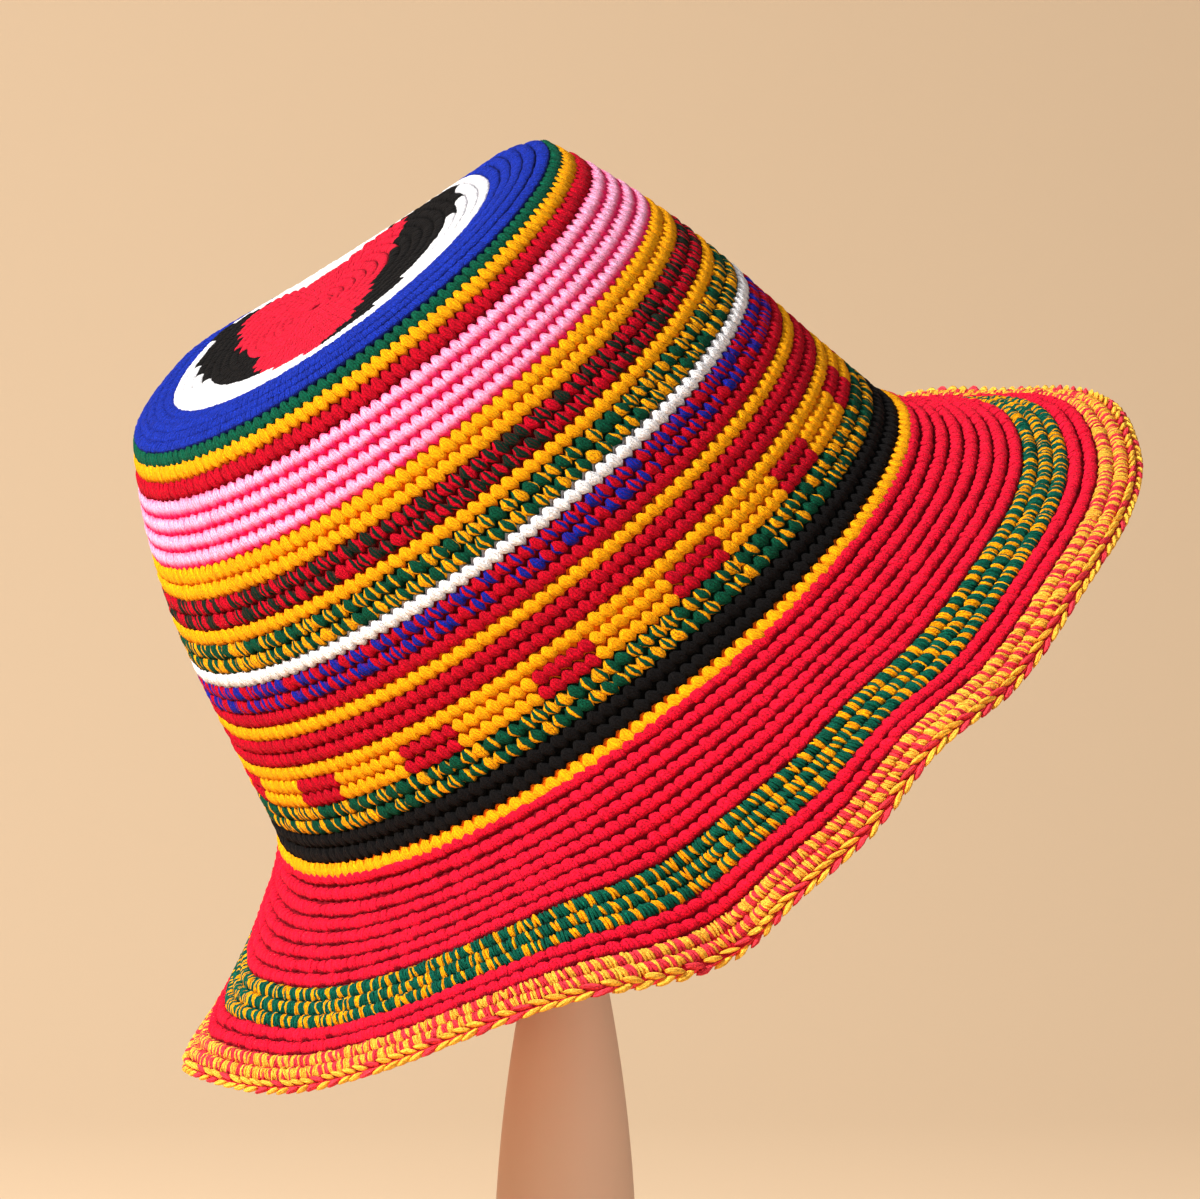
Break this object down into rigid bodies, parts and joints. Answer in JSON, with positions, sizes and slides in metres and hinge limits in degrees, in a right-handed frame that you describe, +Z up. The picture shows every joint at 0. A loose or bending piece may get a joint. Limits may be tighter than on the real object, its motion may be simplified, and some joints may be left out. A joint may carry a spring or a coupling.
{
  "type": "crochet wide brim hat on a plain wooden stand",
  "caption": "Tall crocheted hat with a flat tip, a wavy wide brim and a braided edge, hung tilted on a plain turned wooden post with a round foot.",
  "frame": {"origin": "centre of the foot's underside, on the post's axis", "axes": "+Z up along the post, +Y away from the viewer, +X to the side of the crown that is higher"},
  "size_m": [0.2481, 0.265, 0.3543],
  "materials": {
    "tip_yarn": "blue, green, white, black and red crocheted wool yarn",
    "crown_yarn": "crocheted wool yarn in coloured rounds",
    "brim_yarn": "red crocheted wool yarn with a marled band",
    "edging_yarn": "yellow and red marled crocheted yarn",
    "pale_wood": "plain sanded pale wood"
  },
  "bodies": {
    "root": {"crown_tip": "tip_yarn", "crown_side": "crown_yarn", "brim": "brim_yarn", "brim_edging": "edging_yarn", "stand_post": "pale_wood", "stand_foot": "pale_wood"}
  },
  "joints": []
}
